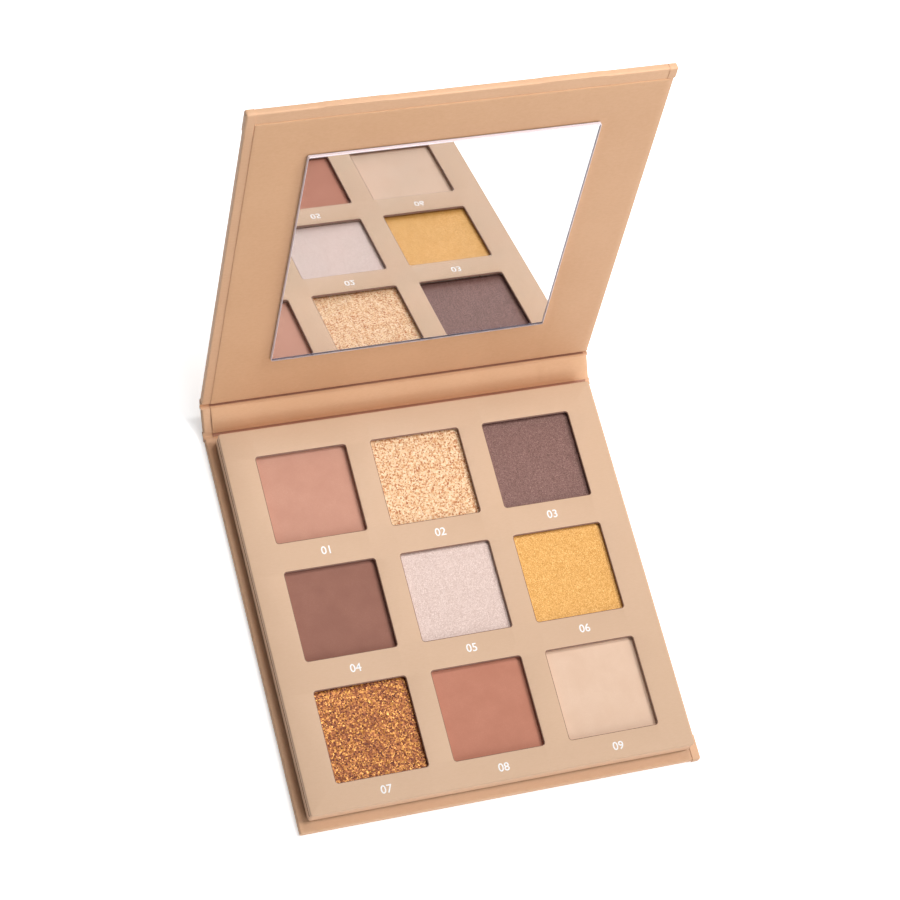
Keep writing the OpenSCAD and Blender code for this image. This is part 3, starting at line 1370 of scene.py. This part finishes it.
@dataclass
class Cover:
    """The three panels of the case and the two paper hinges between them."""

    frames: CaseFrames

    def build(self) -> None:
        """Builds every piece of the cover."""
        paper, lining = COVER_PAPER.material(), LINING_PAPER.material()
        base = CoverPanel(Body.BASE, self.frames.base, closed_end=True, folds=("left",))
        spine = CoverPanel(Body.SPINE, self.frames.spine, closed_end=False, ridge=0.3 * MM)
        lid = CoverPanel(
            Body.LID,
            self.frames.lid,
            closed_end=True,
            inner_bend=0.85 * MM,
            dip=0.12 * MM,
            magnets=("lid_magnet_left", "lid_magnet_right"),
        )
        for panel in (base, spine, lid):
            panel.build(paper, paper if panel is base else lining)
        low, high = box_in("spine_liner", self.frames.spine)
        sizes = {
            "gap": spine.low.y,
            "outer": spine.low.z,
            "flap": spine.high.z,
            "inner": high.z,
        }
        lower_seat = self.frames.spine @ Matrix.Rotation(-self.frames.spine_angle, 4, "X")
        upper_seat = self.frames.lid @ Matrix.Rotation(-self.frames.lid_angle, 4, "X")
        lower = PaperHinge("lower", Body.BASE, Body.SPINE, lower_seat, self.frames.spine_angle, **sizes)
        upper = PaperHinge("upper", Body.SPINE, Body.LID, upper_seat, self.frames.lid_angle, **sizes)
        lower.inner_depth, upper.inner_depth = 0.85 * MM, 0.3 * MM
        for hinge, node in ((lower, "lower_fold"), (upper, "upper_fold")):
            hinge.build(paper, lining, spine.high.x, (low.x, high.x), node)


# ---- tray, powders and mirror ----


@dataclass
class Tray:
    """The tray on the base: a face card with nine windows over paper-covered walls."""

    window_corner: float = 0.7 * MM
    outer_corner: float = 0.9 * MM
    rim: float = 0.3 * MM
    brow: float = 0.35 * MM
    wall: float = 0.2 * MM
    air: float = 0.01 * MM
    roll: float = 0.12 * MM
    foot: float = 0.8 * MM
    foot_shade: float = 0.9 * MM
    seam: float = 1.2 * MM
    seam_half: float = 0.3 * MM
    border: float = 2.0 * MM

    def build(self) -> None:
        """Builds the tray's visible pieces."""
        finishes = [FACE_CARD.material(), CUT_EDGE.material(), WINDOW_RIM_SHADE.material()]
        piece = make_piece("tray_face", self._face(), finishes, sharp=30.0)
        settle(piece, Body.BASE, ["face_card"])
        finishes = [TRAY_PAPER.material(), TRAY_WALL_SHADE.material()]
        piece = make_piece("tray_walls", self._walls(), finishes)
        settle(piece, Body.BASE, ["tray_wrap"])

    def _lines(self, axis: int) -> list[float]:
        """Where the card's outline and the windows' sides lie along an axis.

        Args:
            axis: 0 for X, 1 for Y.

        Returns:
            The places, in order.
        """
        low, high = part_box("face_card")
        places = {round(low[axis], 7), round(high[axis], 7)}
        for number in range(1, 10):
            start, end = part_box(f"pan_{number}")
            places.add(round(start[axis] + WINDOW_LIP, 7))
            places.add(round(end[axis] - WINDOW_LIP, 7))
        return sorted(places)

    def _face(self) -> bmesh.types.BMesh:
        """The face card, with its windows' cut edges."""
        low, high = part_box("face_card")
        xs, ys = self._lines(0), self._lines(1)
        bm = bmesh.new()
        bmesh.ops.create_grid(bm, x_segments=len(xs) - 1, y_segments=len(ys) - 1, size=1.0)
        for vert in bm.verts:
            column = round((vert.co.x + 1.0) / 2.0 * (len(xs) - 1))
            row = round((vert.co.y + 1.0) / 2.0 * (len(ys) - 1))
            vert.co = Vector((xs[column], ys[row], high.z))
        windows = []
        for face in bm.faces:
            middle = face.calc_center_median()
            column = sum(x < middle.x for x in xs)
            row = sum(y < middle.y for y in ys)
            if column % 2 == 0 and row % 2 == 0:
                windows.append(face)
        bmesh.ops.delete(bm, geom=windows, context="FACES")
        bmesh.ops.solidify(bm, geom=bm.faces[:], thickness=high.z - low.z)
        uprights = upright_edges(bm)
        outer = [e for e in uprights if self._at_corner(e.verts[0].co, low, high)]
        inner = [e for e in uprights if not self._on_outline(e.verts[0].co, low, high)]
        ease_edges(bm, outer + inner, self.window_corner, 6)
        bm.normal_update()
        rims = level_edges(bm, high.z, lambda e: not self._in_border(e.verts[0].co, low, high))
        ease_edges(bm, rims, self.rim, 3)
        bm.normal_update()
        brows = level_edges(bm, high.z, lambda e: self._in_border(e.verts[0].co, low, high))
        ease_edges(bm, brows, self.brow, 4)
        bm.normal_update()
        for face in bm.faces:
            slope = abs(face.normal.z)
            if slope < 0.98 and not self._in_border(face.calc_center_median(), low, high):
                # a window's cut wall is upright and gets the cut edge's tone; its sloping rim gets a dark
                # line of painted shade
                face.material_index = 1 if slope < 0.1 else 2
        return bm

    @staticmethod
    def _at_corner(point: Vector, low: Vector, high: Vector) -> bool:
        """Whether a point is at one of the card's four corners."""
        return all(min(point[a] - low[a], high[a] - point[a]) < TOUCH for a in (0, 1))

    @staticmethod
    def _on_outline(point: Vector, low: Vector, high: Vector, near: float = TOUCH) -> bool:
        """Whether a point is on the card's outline, or that near to it."""
        return any(min(point[a] - low[a], high[a] - point[a]) < near for a in (0, 1))

    def _in_border(self, point: Vector, low: Vector, high: Vector) -> bool:
        """Whether a point is in the border along the card's outline."""
        return self._on_outline(point, low, high, self.border)

    def _walls(self) -> bmesh.types.BMesh:
        """The paper round the tray's sides, a little rolled at its upper edge, with shade painted in its
        side seams and along its foot.
        """
        low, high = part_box("tray_wrap")
        bm = bmesh.new()
        block(bm, low, high)
        ease_edges(bm, upright_edges(bm), self.outer_corner, 6)
        bm.normal_update()
        ease_edges(bm, level_edges(bm, high.z, lambda e: True), self.roll, 3)
        bm.normal_update()
        ease_edges(bm, level_edges(bm, low.z, lambda e: True), self.foot, 4)
        seam = high.z - self.seam
        for height in (-self.seam_half, 0.0, self.seam_half):
            slice_at(bm, (0, 0, seam + height), (0, 0, 1))
        for vert in bm.verts:
            beside = abs(vert.co.x) > high.x - self.seam_half / 3
            if beside and abs(vert.co.z - seam) < TOUCH:
                vert.co.x -= math.copysign(self.seam_half, vert.co.x)
        bm.normal_update()
        # painted shade: the faces in the side seams' groove and along the foot get a dark tone
        for face in bm.faces:
            middle = face.calc_center_median()
            near_seam = abs(middle.z - seam) < self.seam_half
            beside = abs(middle.x) > high.x - self.air - self.seam_half and abs(face.normal.z) > UPRIGHT
            if (near_seam and beside) or middle.z < low.z + self.foot_shade:
                face.material_index = 1
        half_plan = (high.x - low.x) * (high.y - low.y) / 2
        flats = [f for f in bm.faces if abs(f.normal.z) > LEVEL and f.calc_area() > half_plan]
        bmesh.ops.delete(bm, geom=flats, context="FACES")
        bmesh.ops.solidify(bm, geom=bm.faces[:], thickness=self.wall - self.air)
        return bm


@dataclass
class PowderCake:
    """One pressed powder in its pan."""

    number: int
    finish: PowderFinish
    fill: float = 0.0
    corner: float = 1.14 * MM
    stray: float = 0.36

    CELLS = {PowderKind.MATTE: 0.5 * MM, PowderKind.SHIMMER: 0.21 * MM, PowderKind.GLITTER: 0.42 * MM}
    RELIEF = {PowderKind.MATTE: 0.006 * MM, PowderKind.SHIMMER: 0.015 * MM, PowderKind.GLITTER: 0.06 * MM}

    def build(self) -> None:
        """Builds the powder."""
        name = f"powder_{self.number}"
        flat = self.finish.kind is not PowderKind.MATTE
        piece = make_piece(f"pressed_{name}", self._mesh(name), [self.finish.material()], flat=flat)
        settle(piece, Body.BASE, [name])

    def _mesh(self, node: str) -> bmesh.types.BMesh:
        """The powder's body: a top of grains or flakes, sides and a flat bottom.

        Args:
            node: the CAD node that it stands for.

        Returns:
            Its mesh.
        """
        low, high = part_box(node)
        high = high + Vector((0.0, 0.0, self.fill))
        dice = random.Random(100 + self.number)
        size, middle = high - low, (high + low) / 2
        cell, relief = self.CELLS[self.finish.kind], self.RELIEF[self.finish.kind]
        count = round(size.x / cell)
        bm = bmesh.new()
        bmesh.ops.create_grid(bm, x_segments=count, y_segments=count, size=0.5)
        bmesh.ops.scale(bm, vec=(size.x, size.y, 1.0), verts=bm.verts)
        self._round_corners(bm, size)
        loose = 0.0 if self.finish.kind is PowderKind.MATTE else self.stray
        for vert in bm.verts:
            if not vert.is_boundary:
                vert.co.x += dice.uniform(-loose, loose) * cell
                vert.co.y += dice.uniform(-loose, loose) * cell
            vert.co.z = dice.uniform(-relief, relief)
        bmesh.ops.translate(bm, vec=(middle.x, middle.y, high.z), verts=bm.verts)
        rim = [e for e in bm.edges if e.is_boundary]
        if self.finish.kind is not PowderKind.MATTE:
            bmesh.ops.triangulate(bm, faces=bm.faces[:])
        made = bmesh.ops.extrude_edge_only(bm, edges=rim)
        skirt = [g for g in made["geom"] if isinstance(g, bmesh.types.BMVert)]
        for vert in skirt:
            vert.co.z = low.z
        bmesh.ops.contextual_create(bm, geom=[e for e in bm.edges if e.is_boundary])
        tone = bm.faces.layers.float.new("flake")
        for face in bm.faces:
            face[tone] = dice.random()
        return bm

    def _round_corners(self, bm: bmesh.types.BMesh, size: Vector) -> None:
        """Pulls the square's corners in to the pan's round ones.

        Args:
            bm: the top, centred on the origin.
            size: its width and length.
        """
        for vert in bm.verts:
            over = Vector([max(0.0, abs(vert.co[a]) - (size[a] / 2 - self.corner)) for a in (0, 1)])
            if over.length > self.corner:
                back = over * (1.0 - self.corner / over.length)
                vert.co.x -= math.copysign(back.x, vert.co.x)
                vert.co.y -= math.copysign(back.y, vert.co.y)


@dataclass
class WindowNumbers:
    """The small printed number in front of each window."""

    height: float = 2.2 * MM
    ink: float = 0.015 * MM
    distance: float = 3.7 * MM

    def build(self) -> None:
        """Builds the nine numbers."""
        finish = WHITE_INK.material()
        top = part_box("face_card")[1].z
        for number in range(1, 10):
            low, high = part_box(f"pan_{number}")
            spot = Vector(((low.x + high.x) / 2, low.y + WINDOW_LIP - self.distance, top))
            piece = make_piece(f"number_{number}", self._digits(number, spot), [finish], sharp=20.0)
            settle(piece, Body.BASE)

    def _digits(self, number: int, spot: Vector) -> bmesh.types.BMesh:
        """The number's two digits as a thin layer of ink.

        Args:
            number: the window's number.
            spot: where the middle of the digits is printed.

        Returns:
            Their mesh.
        """
        words = bpy.data.curves.new(f"digits_{number}", "FONT")
        words.body = f"{number:02d}"
        words.align_x, words.align_y = "CENTER", "CENTER"
        words.extrude, words.offset, words.resolution_u = 0.01, 0.012, 4
        holder = bpy.data.objects.new(f"digits_{number}", words)
        bpy.context.scene.collection.objects.link(holder)
        graph = bpy.context.evaluated_depsgraph_get()
        flat = bpy.data.meshes.new_from_object(holder.evaluated_get(graph))
        bpy.data.objects.remove(holder)
        bm = bmesh.new()
        bm.from_mesh(flat)
        bpy.data.meshes.remove(flat)
        bmesh.ops.remove_doubles(bm, verts=bm.verts, dist=1e-5)
        low = Vector([min(v.co[a] for v in bm.verts) for a in range(3)])
        high = Vector([max(v.co[a] for v in bm.verts) for a in range(3)])
        scale = self.height / (high.y - low.y)
        bmesh.ops.translate(bm, vec=-(low + high) / 2, verts=bm.verts)
        bmesh.ops.scale(bm, vec=(scale, scale, self.ink / (high.z - low.z)), verts=bm.verts)
        bmesh.ops.translate(bm, vec=spot + Vector((0, 0, self.ink / 2)), verts=bm.verts)
        return bm


@dataclass
class Mirror:
    """The lid's mirror: glass with a ground edge over its silver coat."""

    seat: Matrix
    corner: float = 0.5 * MM
    bevel: float = 0.18 * MM
    air: float = 0.02 * MM
    # the width of the band of painted shade along the coat's lower edge
    bare: float = 0.65 * MM
    inset: float = 0.03 * MM
    polished: float = 0.95

    def build(self) -> None:
        """Builds the glass and the silver."""
        finishes = [CLEAR_GLASS.material(), GROUND_GLASS.material()]
        glass = make_piece("mirror_plate", self._glass(), finishes, self.seat, 20.0)
        settle(glass, Body.LID, ["mirror_glass"])
        finishes = [SILVER.material(), BACK_PAINT.material(), MIRROR_EDGE_SHADE.material()]
        coat = make_piece("mirror_coat", self._coat(), finishes, self.seat, 20.0)
        settle(coat, Body.LID, ["mirror_silver"])

    def _glass(self) -> bmesh.types.BMesh:
        """The glass plate, its edges ground."""
        low, high = box_in("mirror_glass", self.seat)
        bm = bmesh.new()
        block(bm, low + Vector((0, 0, self.air)), high)
        ease_edges(bm, upright_edges(bm), self.corner, 8)
        bm.normal_update()
        ease_edges(bm, level_edges(bm, high.z, lambda e: True), self.bevel, 2)
        bm.normal_update()
        for face in bm.faces:
            face.material_index = 0 if abs(face.normal.z) > self.polished else 1
        return bm

    def _coat(self) -> bmesh.types.BMesh:
        """The silver coat, a dark band of painted shade along its lower edge, and the paint behind it."""
        low, high = box_in("mirror_silver", self.seat)
        inset = Vector((self.inset, self.inset, 0.0))
        bm = bmesh.new()
        block(bm, low + inset, high - inset)
        ease_edges(bm, upright_edges(bm), self.corner, 8)
        slice_at(bm, (0, low.y + self.bare, 0), (0, 1, 0))
        bm.normal_update()
        for face in bm.faces:
            # the band along the lower edge gets a dark tone of painted shade
            bare = face.calc_center_median().y < low.y + self.bare
            front = 2 if bare else 0
            face.material_index = front if face.normal.z > self.polished else 1
        return bm


@dataclass
class HiddenParts:
    """The boards, pans, magnets and adhesives, whose CAD shapes are kept and get their finishes."""

    def dress(self) -> None:
        """Gives each kept node its material."""
        pans = [f"pan_{number}" for number in range(1, 10)]
        magnets = ["tray_magnet_left", "tray_magnet_right", "lid_magnet_left", "lid_magnet_right"]
        boards = ["base_board", "spine_board", "lid_board", "tray_floor", "tray_frame"]
        groups = (
            (GREYBOARD, boards),
            (PAN_TIN, pans),
            (MAGNET_NICKEL, magnets),
            (TAPE, ["tray_tape", "mirror_tape"]),
            (GLUE, ["pan_glue"]),
        )
        for finish, nodes in groups:
            material = finish.material()
            for node in nodes:
                mesh = frame["nodes"][node].data
                mesh.materials.clear()
                mesh.materials.append(material)
                log.info("%s: kept, finished as %s", node, finish.name)


# ---- studio ----


@dataclass
class Studio:
    """A plain pale floor, soft light and the camera."""

    eye: tuple[float, float, float] = (-0.22131, -0.22078, 0.67493)
    right: tuple[float, float, float] = (0.94162, -0.24817, 0.22751)
    up: tuple[float, float, float] = (0.14194, 0.90539, 0.40015)
    lens: float = 115.74
    floor_half: float = 3.0
    floor_gap: float = 0.05 * MM
    floor_glow: float = 0.55
    sky_light: float = 0.06

    def build(self) -> None:
        """Builds the whole set."""
        self._floor()
        self._sky()
        self._soft_box("top_light", (0.07, 0.17, 0.40), size=0.12, power=0.74)
        self._soft_box("near_light", (0.25, -0.05, 0.35), size=0.15, power=0.2)
        self._window("side_light", (90.0, 58.0), spread=14.0, strength=1.04)
        self._window("front_light", (18.0, 28.0), spread=50.0, strength=1.41)
        self._camera()
        bpy.context.scene.view_settings.view_transform = "Standard"

    @staticmethod
    def _not_bounced(tree: Tree) -> bpy.types.NodeSocket:
        """A mask that is 0 for light off matt surfaces, so that the set is bright but adds little light."""
        bounced = tree.node("LightPath").outputs["Is Diffuse Ray"]
        return tree.maths("SUBTRACT", 1.0, bounced)

    def _floor(self) -> None:
        """The floor, just under the case."""
        bm = bmesh.new()
        bmesh.ops.create_grid(bm, x_segments=8, y_segments=8, size=self.floor_half)
        bmesh.ops.translate(bm, vec=(0, 0, -self.floor_gap), verts=bm.verts)
        material, tree = new_material("studio_floor")
        soft = tree.noise(tree.place(), 0.4, 2.0, 0.5)
        close_material(
            tree,
            {
                "Base Color": tree.blend(tree.remap(soft, 0.3, 0.7, 0.0, 1.0), (0.93,) * 3, (0.92,) * 3),
                "Roughness": 0.95,
                "Specular IOR Level": 0.1,
                "Emission Color": (1.0, 1.0, 1.0, 1.0),
                "Emission Strength": tree.maths("MULTIPLY", self._not_bounced(tree), self.floor_glow),
            },
        )
        floor = make_piece("studio_floor", bm, [material], outwards=False)

    def _sky(self) -> None:
        """The even light from all round."""
        world = bpy.data.worlds.new("studio")
        bpy.context.scene.world = world
        world.use_nodes = True
        world.node_tree.nodes.clear()
        tree = Tree(world.node_tree)
        strength = tree.remap(self._not_bounced(tree), 0.0, 1.0, self.sky_light, 1.0)
        back = tree.node("Background", {"Color": (1.0, 0.995, 0.99, 1.0), "Strength": strength})
        tree.node("OutputWorld", {"Surface": back.outputs[0]})

    def _hang(self, light: bpy.types.Light, spot: Vector) -> None:
        """Hangs a light and points it at the case.

        Args:
            light: the light.
            spot: where it hangs.
        """
        lamp = bpy.data.objects.new(light.name, light)
        lamp.location = spot
        lamp.rotation_mode = "QUATERNION"
        lamp.rotation_quaternion = (Vector((0.0, 0.02, 0.02)) - spot).to_track_quat("-Z", "Y")
        lamp.visible_camera = False
        bpy.context.scene.collection.objects.link(lamp)

    def _soft_box(self, name: str, spot: Sequence[float], size: float, power: float) -> None:
        """A soft box close to the case.

        Args:
            name: its name.
            spot: where it hangs.
            size: its side.
            power: its power in watts.
        """
        light = bpy.data.lights.new(name, "AREA")
        light.shape, light.size, light.energy = "SQUARE", size, power
        self._hang(light, Vector(spot))

    def _window(self, name: str, aim: tuple[float, float], spread: float, strength: float) -> None:
        """Soft light from far away.

        Args:
            name: its name.
            aim: where it comes from: degrees round from the front to the right, and degrees up.
            spread: how wide it looks, in degrees.
            strength: its irradiance.
        """
        light = bpy.data.lights.new(name, "SUN")
        light.energy, light.angle = strength, math.radians(spread)
        round_by, up_by = (math.radians(angle) for angle in aim)
        across = math.cos(up_by)
        way = Vector((across * math.sin(round_by), -across * math.cos(round_by), math.sin(up_by)))
        self._hang(light, way * 2.0)

    def _camera(self) -> None:
        """The camera."""
        right, up = Vector(self.right).normalized(), Vector(self.up)
        back = right.cross(up).normalized()
        up = back.cross(right)
        data = bpy.data.cameras.new("camera")
        data.lens, data.sensor_width = self.lens, 36.0
        data.clip_start, data.clip_end = 0.01, 20.0
        camera = bpy.data.objects.new("camera", data)
        turned = Matrix((right, up, back)).transposed().to_4x4()
        camera.matrix_world = Matrix.Translation(self.eye) @ turned
        bpy.context.scene.collection.objects.link(camera)
        bpy.context.scene.camera = camera


def main() -> None:
    """Builds the palette and its studio."""
    logging.basicConfig(level=logging.INFO, format="%(name)s: %(message)s")
    frames = CaseFrames.read()
    HiddenParts().dress()
    Cover(frames).build()
    Tray().build()
    for number, (finish, fill) in enumerate(zip(POWDERS, FILLS), start=1):
        PowderCake(number, finish, fill * MM).build()
    WindowNumbers().build()
    Mirror(frames.lid).build()
    Studio().build()


if __name__ == "__main__":
    main()
